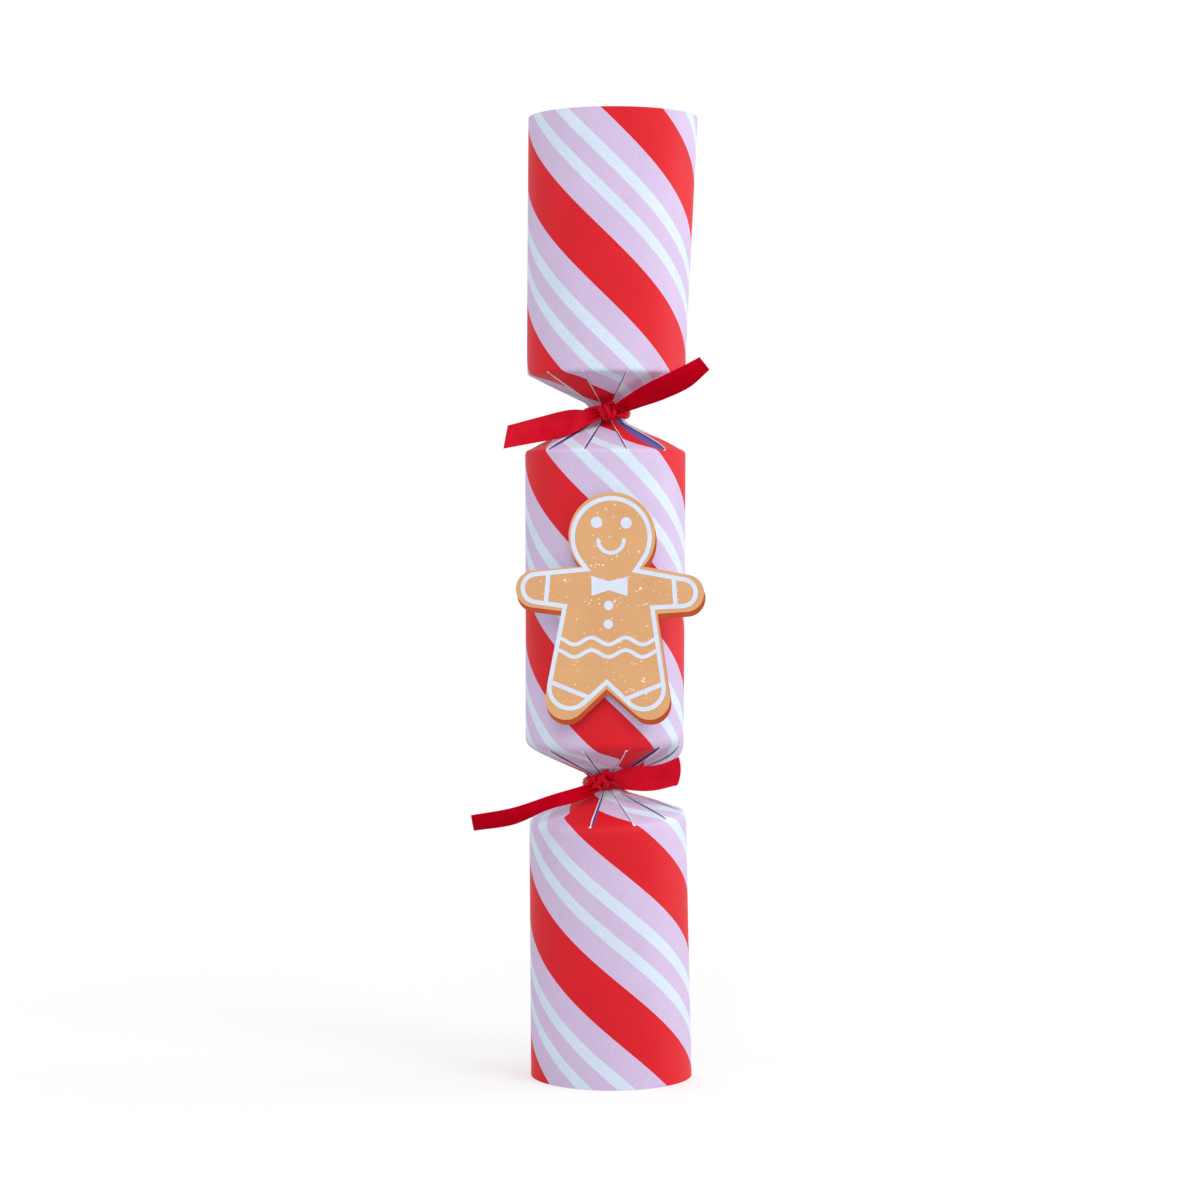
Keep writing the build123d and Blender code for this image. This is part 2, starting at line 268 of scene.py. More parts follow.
def paper(name, light, dark, patch=6.0, grain=0.4, depth=0.04, stretch=0.3):
    """Unprinted paper or card: two close colours, fibres along the sheet."""
    f = Finish(name, 0.25)
    base = f.mix(f.noise(patch), light, dark)
    fibre = f.noise(grain, 4.0, 0.65, f.place((1, 1, stretch)))
    return f.done(base, fibre, (0.6, 0.75), 0.4, depth, ((0.3, 0.93), (0.62, 1.0)))


def satin(name, light, dark, gloss, tint):
    """Red satin ribbon: close lengthwise ribs, soft gloss on its face and less on its back."""
    sheen = {"Sheen Weight": 0.04, "Sheen Roughness": 0.35, "Sheen Tint": rgb(255, 120, 130)}
    f = Finish(name, gloss, {"Specular Tint": tint, **sheen})
    across, onward = f.flat_map("Strip")
    rib = f.compute("SINE", f.compute("MULTIPLY", across, 2 * pi * MAP_UNIT / RIB_SPACING))
    weft = f.compute("SINE", f.compute("MULTIPLY", onward, 2 * pi * MAP_UNIT / WEFT_SPACING))
    ribs = f.compute("MULTIPLY_ADD", rib, 0.25, 0.5)
    weave = f.compute("MULTIPLY_ADD", f.compute("MULTIPLY", rib, weft), 0.25, ribs)
    cloud = f.noise(5.0, where=f.place((1, 1, 1.6)))
    tone = f.ramp(cloud, [(0.3, dark), (0.7, light)])
    return f.done(tone, weave, (0.34, 0.46), 0.22, 0.05, ((0.0, 0.86), (0.7, 1.0)), cloud)


def biscuit(name, light, dark):
    """Printed biscuit colour on smooth card: faint baked clouds and a fine crumb."""
    f = Finish(name, 0.2)
    cloud = f.ramp(f.noise(11.0, 4.0, 0.6), [(0.3, dark), (0.72, light)])
    crumb = f.noise(0.45, 3.0, 0.7)
    return f.done(cloud, crumb, (0.45, 0.6), 0.2, 0.03, ((0.32, 0.93), (0.5, 1.0)))


def icing(name, light, dark):
    """White icing line: smooth, faintly uneven, a little glossier than the card."""
    f = Finish(name, 0.25)
    tone = f.ramp(f.noise(3.0), [(0.3, dark), (0.7, light)])
    return f.done(tone, f.noise(0.5), (0.36, 0.5), 0.15, 0.02)


def foam():
    """White closed-cell foam."""
    f = Finish("foam", 0.2)
    cells = f.add("ShaderNodeTexVoronoi", {"Vector": f.place(), "Scale": 1 / (0.45 * MM)}, feature="F1")
    height = cells.outputs["Distance"]
    tone = f.ramp(height, [(0.0, rgb(205, 205, 208)), (0.5, rgb(240, 240, 242))])
    return f.done(tone, height, (0.75, 0.9), 0.6, 0.15)


def wood(name, light, dark, turned=False):
    """Wood with growth rings and pores; a turned piece has its grain along the axis."""
    f = Finish(name, 0.4)
    growth = {"Scale": 260.0, "Distortion": 2.5, "Detail": 3.0, "Detail Scale": 1.5}
    growth["Vector"] = f.place((1, 1, 0.25))
    rings = f.add("ShaderNodeTexWave", growth, wave_type="RINGS", rings_direction="X" if turned else "Z")
    tone = f.ramp(rings.outputs["Fac"], [(0.2, dark), (0.8, light)])
    pores = f.noise(0.3, 3.0, 0.6, f.place((1, 1, 0.12)))
    return f.done(tone, pores, (0.4, 0.6), 0.3, 0.06, ((0.35, 0.85), (0.55, 1.0)))


def glue():
    """Dried glue: pale amber with small bubbles."""
    f = Finish("glue", 0.5, {"Transmission Weight": 0.25})
    bubbles = f.noise(0.7, 2.0)
    tone = f.ramp(bubbles, [(0.35, rgb(206, 176, 122)), (0.7, rgb(234, 212, 168))])
    return f.done(tone, bubbles, (0.22, 0.42), 0.4, 0.08)


def composition():
    """Friction composition: a dark grainy patch."""
    f = Finish("snap_composition", 0.3)
    grains = f.noise(0.25, 4.0, 0.8)
    tone = f.ramp(grains, [(0.3, rgb(52, 46, 44)), (0.7, rgb(112, 100, 92))])
    return f.done(tone, grains, (0.6, 0.9), 0.8, 0.08)


PRINT = printed_card()
# The card's reverse darkened: painted shade deep in the gaping slits
SLIT_SHADE = paper("card_reverse_painted_shade", rgb(94, 90, 168), rgb(82, 78, 154))
REVERSE = paper("card_reverse", rgb(166, 160, 214), rgb(182, 176, 224))
CUT_EDGE = paper("card_edge", rgb(250, 248, 253), rgb(242, 239, 249), grain=0.2)
SATIN = satin("satin_ribbon", rgb(216, 15, 43), rgb(196, 6, 33), 0.16, (1.0, 0.3, 0.36, 1.0))
# The ribbon's dull back: less gloss, and a darker tone that is partly painted shade for the tails that
# face down
SATIN_BACK_SHADED = satin("satin_ribbon_back_shaded", rgb(198, 5, 32), rgb(186, 2, 26), 0.0, (1.0, 0.12, 0.18, 1.0))
BROWN = biscuit("figure_edge_print", rgb(190, 82, 36), rgb(174, 68, 28))
TAN = biscuit("figure_face_print", rgb(223, 171, 122), rgb(217, 163, 114))
ICING = icing("figure_icing_print", rgb(220, 230, 247), rgb(212, 222, 241))
FLOUR = icing("figure_flour_print", rgb(250, 236, 214), rgb(245, 226, 198))
CORE = paper("figure_card_core", rgb(226, 220, 214), rgb(212, 204, 198), grain=0.25)

# Slots of a card piece: face, back and rim of the print, of its white edges and of what shows in a slit,
# whose face is the reverse's lilac darkened as painted shade
SHEET = [PRINT, REVERSE, CUT_EDGE, CUT_EDGE, REVERSE, CUT_EDGE, SLIT_SHADE, REVERSE, CUT_EDGE]
PRINT_SLOT = 0
WHITE_SLOT = 3
SLIT_SHADE_SLOT = 6


# Meshes


def make_piece(name, points, faces, materials, sharp=30.0, paints=None, flat=None, sheet=None):
    """A mesh object from points in millimetres, with a slot per face and a flat map if given.

    A sheet has its thickness and the steps to the slots of its back and rim.
    """
    mesh = bpy.data.meshes.new(name)
    mesh.from_pydata([(x * MM, y * MM, z * MM) for x, y, z in points], [], faces)
    for material in materials:
        mesh.materials.append(material)
    for polygon, slot in zip(mesh.polygons, paints or []):
        polygon.material_index = slot
    if flat:
        layer = mesh.uv_layers.new(name=flat[0])
        for loop in mesh.loops:
            u, v = flat[1][loop.vertex_index]
            layer.data[loop.index].uv = (u / MAP_UNIT, v / MAP_UNIT)
    piece = bpy.data.objects.new(name, mesh)
    scene.collection.objects.link(piece)
    if sheet:
        solid = piece.modifiers.new("Thickness", "SOLIDIFY")
        solid.thickness = sheet[0] * MM
        solid.material_offset = sheet[1]
        solid.material_offset_rim = sheet[2]
        solid.offset = -1.0
        solid.use_even_offset = True
    graph = bpy.context.evaluated_depsgraph_get()
    piece.data = bpy.data.meshes.new_from_object(piece.evaluated_get(graph))
    piece.modifiers.clear()
    piece.data.name = name
    piece.data.shade_smooth()
    piece.data.set_sharp_from_angle(angle=radians(sharp))
    return piece


def direction(line, i):
    """Which way a line runs at one of its points."""
    return line[min(i + 1, len(line) - 1)] - line[max(i - 1, 0)]


def along(points, share):
    """The point at a share of a polyline's length."""
    steps = [(b - a).length for a, b in zip(points, points[1:])]
    reach = share * sum(steps)
    for start, end, step in zip(points, points[1:], steps):
        if reach <= step:
            return start.lerp(end, reach / step if step else 0.0)
        reach -= step
    return points[-1].copy()


def curve_through(points, count=10):
    """A smooth line through the points, with that many steps between neighbours."""
    ends = [2 * points[0] - points[1], *points, 2 * points[-1] - points[-2]]
    line = []
    for a, b, c, d in zip(ends, ends[1:], ends[2:], ends[3:]):
        square = 2 * a - 5 * b + 4 * c - d
        cube = 3 * b - a - 3 * c + d
        for i in range(count):
            t = i / count
            line.append(0.5 * (2 * b + (c - a) * t + square * t * t + cube * t**3))
    return [*line, points[-1].copy()]


def bezier(points, count):
    """A cubic curve from four points."""
    a, b, c, d = points
    line = []
    for t in spaced(0, 1, count):
        s = 1 - t
        line.append(a * s**3 + b * 3 * s * s * t + c * 3 * s * t * t + d * t**3)
    return line


# Card: the way of a strip from the barrel to the waist

SLOPE = radians(65.1)
BEND_TOP = Vector((WAIST_R + WAIST_BEND_R * (1 - cos(SLOPE)), WAIST_BEND_R * sin(SLOPE)))
BEND_STEPS = 8
BOW_STEPS = 20
BOW_DEGREES = 104.0
BOW_FADE = (12, 42)
CREASE = 0.3
WAIST_GAP = 0.06
SHARES = [
    0, 0.02, 0.04, 0.06, 0.08, 0.1, 0.13, 0.17, 0.22, 0.28, 0.35,
    0.43, 0.51, 0.59, 0.67, 0.74, 0.8, 0.85, 0.9, 0.95, 1,
]

# Rows of the wall, its slight dents, the seam's overlap and the ragged ends of the strips
ROW_HEIGHT = 3.5
DENTS = (0.05, 0.04)
SEAM_GAP = 0.04
SEAM_RUN = 6
RAGGED_END = 0.25
CARD_SHARP = 40.0

# Lower neck: how much higher its fold sits at the sides and right, and the angles over which this fades;
# how much higher the slits above and below start, by angle, and the heights where this comes and goes
FOLD_RISE_SIDES = 1.6
FOLD_RISE_RIGHT = 0.9
FOLD_RISE_FADE = (90, 150)
CENTRE_CUT_RISE = ((5, 0.0), (45, 1.0), (65, 1.3), (110, 1.3), (170, 0.0))
BOTTOM_CUT_RISE = ((-75, 0.0), (-45, 0.4), (15, 0.5), (45, 0.6), (80, 0.8), (130, 0.0))
CENTRE_CUT_HEIGHTS = (LOWER_WAIST_Z + 3, CENTRE_Z, CENTRE_Z + 3, CENTRE_Z + 20)
BOTTOM_CUT_HEIGHTS = (END_LENGTH - 20, END_LENGTH - 3, END_LENGTH, LOWER_WAIST_Z - 3)

# Edges of the strips, by side (1 on top, -1 beneath, 0 neither on top): reach past the line of a closed
# slit, and how far they stand up at a closed or lapping and at a gaping slit
EDGE_REACH = {1: 0.35, -1: 0.8, 0: 0.8}
EDGE_LIFT = {1: (0.32, 0.22), -1: (-0.22, 0.0), 0: (-1.6, -1.6)}
SLIT_START = 0.25
GAPE_POWER = 0.6
LIFT_SETTLE = 0.6
LIFT_CURL = 1.6
FLATNESS = 0.45
EDGE_TAPER = 0.7
EDGE_W = 0.2
EDGE_SHARE = 0.2
HALF_STRIP = STRIP_DEGREES / 2
LEAST_TURN_R = 4.0
UNDER_DEPTH = 0.38
UNDER_MARGIN = 0.5


def strip_line(corner, bow=None):
    """A strip's way to the waist, straight or bowed: distance from the axis, height over the waist."""
    score = Vector((BARREL_R, HALF_NECK))
    rise = Vector((0, corner))
    if bow:
        line = bezier([score + rise, Vector(bow[0]), Vector(bow[1]), BEND_TOP], BOW_STEPS)
    else:
        run = (BEND_TOP - score).normalized() * corner
        fold = [score + rise, score + rise * CREASE, score + run * CREASE, score + run]
        line = [*bezier(fold, BEND_STEPS), BEND_TOP]
    for turn in spaced(SLOPE, 0, BEND_STEPS)[1:]:
        out = WAIST_R + WAIST_BEND_R * (1 - cos(turn))
        line.append(Vector((out, WAIST_GAP + WAIST_BEND_R * sin(turn))))
    return line


def gape(share):
    """How a slit opens from the barrel to the waist: widest about a third of the way."""
    return max(0.0, sin(pi * min(1.0, max(0.0, share)) ** GAPE_POWER)) ** GAPE_POWER


class Neck:
    """One half of a neck, 1 above or -1 below the waist: how softly it folds and how its slits lie."""

    def __init__(self, score_z, way, corner, slit_row, slits, bow=None, pulls=None):
        self.way = way
        self.waist_z = score_z - way * HALF_NECK
        self.start_z = score_z + way * corner
        self.slit_row = slit_row
        self.slits = slits
        self.pulls = pulls or {}
        straight, bowed = strip_line(corner), strip_line(corner, bow)
        self.straight = [along(straight, share) for share in SHARES]
        self.bowed = [along(bowed, share) for share in SHARES]
        self.length = sum((b - a).length for a, b in zip(straight, straight[1:]))

    def line(self, degrees):
        """Distance from the axis, height over the waist and outward direction along a strip."""
        away = abs((degrees - BOW_DEGREES + 180) % 360 - 180)
        bow = 1 - smooth_step(*BOW_FADE, away)
        points = [a.lerp(b, bow) for a, b in zip(self.straight, self.bowed)]
        return [(point, direction(points, i).orthogonal().normalized()) for i, point in enumerate(points)]

    def past_slit(self, k):
        """Share of the way from the start of the slits to the waist."""
        start = SHARES[self.slit_row]
        return max(0.0, (SHARES[k] - start) / (1 - start))

    def slit(self, angle):
        """Which side lies on top at a slit, how far it gapes, and the white along its two edges."""
        if angle in self.slits:
            over, opening, white = self.slits[angle]
        else:
            chance = random.Random(f"{self.start_z:.0f} {angle}")
            over = chance.choice((-1, 1))
            white = chance.choice((0.0, 0.2, 0.35))
            opening = chance.choice((0.0, 0.2, 0.45))
        return over, opening, white if over < 0 else 0.0, white if over > 0 else 0.0


def around(radius, degrees, z):
    """The point at a distance from the axis, an angle from the front and a height."""
    turn = radians(degrees)
    return Vector((radius * sin(turn), -radius * cos(turn), z))


def wall_radius(degrees, z):
    """Outer radius of the tube: a little wider at the cut ends, and never quite round."""
    turn = radians(degrees)
    front = between(FRONT_RADII, z)
    oval = (between(SIDE_RADII, z) - front) * sin(turn) ** 2
    wide, narrow = DENTS
    return front + oval + wide * sin(2 * turn + z * 0.02) + narrow * sin(3 * turn + 1.3 - z * 0.03)


def fold_rise(degrees, z):
    """How much higher the lower fold sits towards the right and the sides."""
    turn = radians(degrees)
    rise = FOLD_RISE_SIDES * (1 - cos(turn)) + FOLD_RISE_RIGHT * sin(turn)
    rise *= 1 - smooth_step(*FOLD_RISE_FADE, abs((degrees + 180) % 360 - 180))
    return rise * hump(0, END_LENGTH, END_LENGTH, LOWER_WAIST_Z, z)


def cut_rise(degrees, z):
    """How much higher the slits at the lower neck start; the print stays in place."""
    if z > LOWER_WAIST_Z:
        return between(CENTRE_CUT_RISE, degrees) * hump(*CENTRE_CUT_HEIGHTS, z)
    return between(BOTTOM_CUT_RISE, degrees) * hump(*BOTTOM_CUT_HEIGHTS, z)


class CardSheet:
    """A barrel with the strips of its necks, cut from one sheet and seamed behind its right side."""

    def __init__(self, bottom, top, extra, necks, lay, turn):
        self.points, self.flat, self.faces, self.paints = [], [], [], []
        self.extra = extra
        self.start, self.period, self.slant = lay
        self.seam = SEAM_DEGREES + turn - 360
        columns = range(-FLAP_COLUMNS, STRIPS * STRIP_COLUMNS + 1)
        self.angles = [self.seam + i * COLUMN_DEGREES for i in columns]
        rows = max(2, round((top - bottom) / ROW_HEIGHT))
        grid = [self.barrel_row(z) for z in spaced(bottom, top, rows)]
        for lower, upper in zip(grid, grid[1:]):
            self.join(lower, upper, 1.0)
        for neck in necks:
            self.neck(neck, grid[0 if neck.way > 0 else -1][FLAP_COLUMNS:])

    def add(self, place, u, v):
        """A point of the sheet; its flat map holds the way round and the count of stripes."""
        degrees = math.degrees(atan2(place.x, -place.y))
        rise = cut_rise(degrees, place.z)
        z = place.z + fold_rise(degrees, place.z) + rise
        self.points.append((place.x + between(LEAN, place.z), place.y, z))
        self.flat.append((u, MAP_UNIT * (self.start - v - rise - self.slant * u) / self.period))
        return len(self.points) - 1

    def join(self, near, far, way, paint=PRINT_SLOT, edges=None):
        """Faces between two rows; the outer columns may have other paints."""
        lower, upper = (near, far) if way > 0 else (far, near)
        self.faces += zip(lower, lower[1:], upper[1:], upper)
        first, last = edges or (paint, paint)
        self.paints += [first, *[paint] * (len(near) - 3), last]

    def tuck(self, degrees):
        """How far the sheet lies under its own outer edge at the seam."""
        return (CARD + SEAM_GAP) * (1 - smooth_step(self.seam, self.seam + SEAM_RUN, degrees))

    def barrel_row(self, z):
        """A row of points round the barrel."""
        row = []
        for degrees in self.angles:
            radius = wall_radius(degrees, z) - self.tuck(degrees)
            u = BARREL_R * radians(degrees)
            row.append(self.add(around(radius, degrees, z), u, z + self.extra))
        return row

    def on_neck(self, neck, k, centre, outward, degrees, lift, u):
        """A point of a neck, a lift away from its plain line."""
        share = SHARES[k]
        spread = 1 + (wall_radius(degrees, neck.start_z) / BARREL_R - 1) * (1 - share)
        radius = centre.x * spread + outward.x * lift
        height = centre.y + outward.y * lift
        if k == len(SHARES) - 1:
            height += RAGGED_END * (noise.noise(Vector((degrees * 0.35, neck.start_z, 0.0))) + 0.6)
        v = neck.start_z - neck.way * share * neck.length + self.extra
        return self.add(around(radius, degrees, neck.waist_z + neck.way * height), u, v)

    def neck(self, neck, row):
        """The fold at the end of a barrel, and the strips between its slits."""
        angles = self.angles[FLAP_COLUMNS:]
        lines = [neck.line(degrees) for degrees in angles]
        for k in range(1, neck.slit_row + 1):
            further = []
            for line, degrees in zip(lines, angles):
                u = BARREL_R * radians(degrees)
                further.append(self.on_neck(neck, k, *line[k], degrees, -self.tuck(degrees), u))
            self.join(row, further, -neck.way)
            row = further
        for first in range(0, STRIPS * STRIP_COLUMNS, STRIP_COLUMNS):
            columns = slice(first, first + STRIP_COLUMNS + 1)
            self.strip(neck, row[columns], angles[first], lines[columns])

    def strip(self, neck, row, left, lines):
        """One strip from the fold to the waist, and what shows in the slit at its left."""
        left_slit = self.slit_angle(left)
        left_over, left_gap, _, left_white = neck.slit(left_slit)
        right_over, right_gap, right_white, _ = neck.slit(self.slit_angle(left + STRIP_DEGREES))
        whites = (left_white, right_white)
        edge_paints = [WHITE_SLOT if white else PRINT_SLOT for white in whites]
        middle = left + HALF_STRIP
        middle_u = BARREL_R * radians(middle)
        pull = neck.pulls.get(left_slit, 0.0)
        for k in range(neck.slit_row + 1, len(SHARES)):
            share = neck.past_slit(k)
            opened = smooth_step(0.0, SLIT_START, share)
            left_shift, left_lift = self.edge(left_over, left_gap, share, opened)
            right_shift, right_lift = self.edge(-right_over, right_gap, share, opened)
            reach = neck.straight[k].x
            taper = (reach / BARREL_R) ** EDGE_TAPER
            width = radians(STRIP_DEGREES) * reach
            uneven = 0.75 + 0.5 * noise.noise(Vector((share * 9, left, neck.start_z)))
            edges = [min(EDGE_SHARE, max(white, EDGE_W) * uneven * taper / width) for white in whites]
            columns = spaced(0, 1, STRIP_COLUMNS)
            columns[1], columns[-2] = edges[0], 1 - edges[1]
            further = []
            for line, across in zip(lines, columns):
                centre, outward = line[k]
                shift = left_shift * (1 - across) - right_shift * across
                degrees = left + STRIP_DEGREES * across
                degrees += math.degrees(shift / max(centre.x, LEAST_TURN_R))
                side = 2 * across - 1
                lift = (right_lift if side > 0 else left_lift) * abs(side) ** LIFT_CURL
                flat = cos(radians(HALF_STRIP)) / cos(radians(HALF_STRIP * side))
                lift -= FLATNESS * (1 - flat) * centre.x * opened * (1 - share)
                u = middle_u + centre.x * radians(degrees - middle) + pull * share
                further.append(self.on_neck(neck, k, centre, outward, degrees, lift, u))
            self.join(row, further, -neck.way, PRINT_SLOT, edge_paints)
            row = further
        # Deep in a gaping slit lies a sheet coloured in painted shade
        if left_gap > 0:
            self.shaded_under_slit(neck, left, left_gap, lines[0])

    @staticmethod
    def edge(side, gap, share, opened):
        """How far a strip's edge draws back from a slit, and how far it stands up."""
        shift = gap / 2 * gape(share)
        if gap == 0:
            shift -= EDGE_REACH[side] * opened
        return shift, EDGE_LIFT[side][gap > 0] * opened * (1 - LIFT_SETTLE * share)

    def slit_angle(self, degrees):
        """A slit's name: its angle before the piece is turned."""
        return round((degrees - self.seam + SEAM_DEGREES + 180) % 360 - 180)

    def shaded_under_slit(self, neck, degrees, gap, line):
        """The card that shows deep in a gaping slit, its face darkened as painted shade."""
        row = None
        for k in range(neck.slit_row, len(SHARES)):
            centre, outward = line[k]
            half = gap / 2 * gape(neck.past_slit(k)) + UNDER_MARGIN
            further = []
            for side in (-1, 0, 1):
                angle = degrees + side * math.degrees(half / max(centre.x, LEAST_TURN_R))
                further.append(self.on_neck(neck, k, centre, outward, angle, -UNDER_DEPTH, 0.0))
            if row:
                self.join(row, further, -neck.way, SLIT_SHADE_SLOT)
            row = further

    def piece(self, name):
        flat, sheet = ("Blank", self.flat), (CARD, 1, 2)
        made = make_piece(name, self.points, self.faces, SHEET, CARD_SHARP, self.paints, flat, sheet)
        return made


# Slits that show from the front, by angle: side on top (1 right, -1 left, 0 neither), how far the slit
# gapes or, below zero, laps over, and how wide the upper strip's cut edge shows white
TOP_SLITS = {
    -75: (1, -1.5, 0), -45: (-1, 0.3, 0.35), -15: (-1, 0.3, 0.15),
    15: (1, 0.45, 0.2), 45: (1, 0.25, 0.2), 75: (-1, -1.5, 0),
}
CENTRE_UPPER_SLITS = {
    -75: (1, -1.5, 0), -45: (-1, 2.6, 0.05), -15: (-1, 0.9, 0.15),
    15: (1, 0.6, 0.1), 45: (1, 6.2, 0.1), 75: (-1, -1.5, 0),
}
CENTRE_LOWER_SLITS = {
    -75: (1, -4.5, 0), -45: (-1, 2, 0.05), -15: (-1, 0.6, 0.1),
    15: (1, 0.35, 0.3), 45: (1, 3.2, 0.08), 75: (1, 2.2, 0.12), 105: (0, 0, 0),
}
BOTTOM_SLITS = {
    -75: (1, -1.5, 0), -45: (1, 0.2, 0), -15: (-1, 0.9, 0.4),
    15: (1, 0.4, 0.25), 45: (1, 1.3, 0.08), 75: (1, 1.7, 0.12), 105: (0, 0, 0),
}
RIGHT_BOW = ((26.2, 6.2), (23.0, 4.6))

# How the print lies on each length of the tube: start, period and slant of its stripes
BOTTOM_LAY = (35.1, 54.0, 0.870)
CENTRE_LAY = (31.1, 55.75, 0.945)
TOP_LAY = (34.0, 54.25, 0.950)
BOTTOM_TURN = 3.3
TOP_TURN = -1.0

bottom_neck = Neck(END_LENGTH, -1, 2.4, 5, BOTTOM_SLITS)
centre_lower_neck = Neck(CENTRE_Z, 1, 3.0, 6, CENTRE_LOWER_SLITS, RIGHT_BOW, pulls={45: 5.0})
centre_upper_neck = Neck(CENTRE_TOP_Z, -1, 1.0, 2, CENTRE_UPPER_SLITS, pulls={45: -9.0})
top_neck = Neck(TOP_Z, 1, 1.0, 2, TOP_SLITS)

bottom_sheet = CardSheet(0.0, bottom_neck.start_z, 0.0, [bottom_neck], BOTTOM_LAY, BOTTOM_TURN)
centre_necks = [centre_lower_neck, centre_upper_neck]
centre_ends = [neck.start_z for neck in centre_necks]
centre_sheet = CardSheet(*centre_ends, NECK_EXTRA, centre_necks, CENTRE_LAY, 0.0)
top_sheet = CardSheet(top_neck.start_z, TOTAL_Z, 2 * NECK_EXTRA, [top_neck], TOP_LAY, TOP_TURN)
bottom_card = bottom_sheet.piece("bottom_card")
centre_card = centre_sheet.piece("centre_card")
top_card = top_sheet.piece("top_card")
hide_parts("bottom_barrel", "bottom_neck_strips")
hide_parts("centre_barrel", "centre_lower_strips", "centre_upper_strips")
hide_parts("top_barrel", "top_neck_strips")
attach(bottom_card, "bottom_end")
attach(centre_card, "centre")
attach(top_card, "top_end")


# Ribbons: rolls of a knot, the turn round the neck, and the tails

ROLL_SIDES = 24
ROLL_END = 0.08
ROLL_ROUNDING = 0.4
ROLL_FOLDS = 4
ROLL_FOLD_DEPTH = 0.2
ROLL_TWIST = 5
CREASE_SCALE = 0.85
CREASE_FLOOR = 0.72
CREASE_HEIGHT = 0.27
LOOP_STEPS = 144
LOOP_SIDES = 48
LOOP_DRIFT = 2.4
LOOP_UNEVEN = 0.2
RIBBON_SHARP = 60.0
TAIL_SHARP = 50.0
TAIL_STEPS = 16
GATHERED_W = 4.4
SPREAD_SHARE = 0.45
GATHERS = 3
GATHER_DEPTH = 0.85
GATHER_SHARE = 0.38
TAIL_WAVES = 7.0
TAIL_CUP = 0.35
ROUND_SHARE = 0.7


def add_roll(points, flat, faces, line, radius):
    """Adds a crumpled roll of ribbon along a line, rounded off at both ends."""
    first, sides = len(points), ROLL_SIDES
    normal = Vector((0.3, 0.5, 0.8))
    reach = 0.0
    for i, point in enumerate(line):
        way = direction(line, i).normalized()
        normal = (normal - way * normal.dot(way)).normalized()
        other = way.cross(normal)
        share = i / (len(line) - 1)
        reach += (point - line[i - 1]).length if i else 0.0
        size = radius * max(ROLL_END, sin(pi * share)) ** ROLL_ROUNDING
        for j in range(sides):
            turn = 2 * pi * j / sides
            fold = 1 + ROLL_FOLD_DEPTH * cos(ROLL_FOLDS * turn + ROLL_TWIST * share)
            offset = (normal * cos(turn) + other * sin(turn)) * size * fold
            crease = noise.ridged_multi_fractal((point + offset) * CREASE_SCALE, 1.0, 2.0, 2, 1.0, 2.0)
            points.append(point + offset * (CREASE_FLOOR + CREASE_HEIGHT * crease))
            flat.append((j * RIBBON_W / sides, reach))
    rings = [range(start, start + sides) for start in range(first, len(points), sides)]
    for near, far in zip(rings, rings[1:]):
        faces += zip(near, shifted(near), shifted(far), far)
    faces += [tuple(reversed(rings[0])), tuple(rings[-1])]


def ribbon_loop(name, waist_z):
    """The gathered turn round the neck, in pleats that wander on their way round."""
    sides = LOOP_SIDES
    points, flat, faces = [], [], []
    for degrees in spaced(0, 360, LOOP_STEPS)[:-1]:
        middle = around(LOOP_R, degrees, waist_z)
        outward = around(1.0, degrees, 0.0)
        drift = LOOP_DRIFT * noise.noise(middle * 0.2)
        uneven = 1 + LOOP_UNEVEN * noise.noise(middle * 0.3 + Vector((0, 0, 9)))
        half_height = LOOP_HALF_HEIGHT * uneven
        fullness = 0.7 + 0.6 * noise.noise(middle * 0.5)
        for j in range(sides):
            turn = 2 * pi * j / sides
            pleat = PLEAT_DEPTH * cos(PLEATS * turn + drift) * fullness
            out = (LOOP_HALF_T + pleat) * cos(turn)
            up = (half_height + pleat) * sin(turn)
            points.append(middle + outward * out + Vector((0, 0, up)))
            flat.append((j * RIBBON_W / sides, radians(degrees) * LOOP_R))
    rings = [range(start, start + sides) for start in range(0, len(points), sides)]
    for near, far in zip(rings, shifted(rings)):
        faces += zip(near, far, shifted(far), shifted(near))
    return make_piece(name, points, faces, [SATIN], RIBBON_SHARP, None, ("Strip", flat))


def ribbon_knot(name, waist_z, rolls):
    """A knot drawn tight: rolls of ribbon over each other."""
    points, flat, faces = [], [], []
    for places, radius in rolls:
        line = [Vector((x, KNOT_Y - out, waist_z + z)) for x, out, z in places]
        add_roll(points, flat, faces, curve_through(line), radius)
    return make_piece(name, points, faces, [SATIN], RIBBON_SHARP, None, ("Strip", flat))


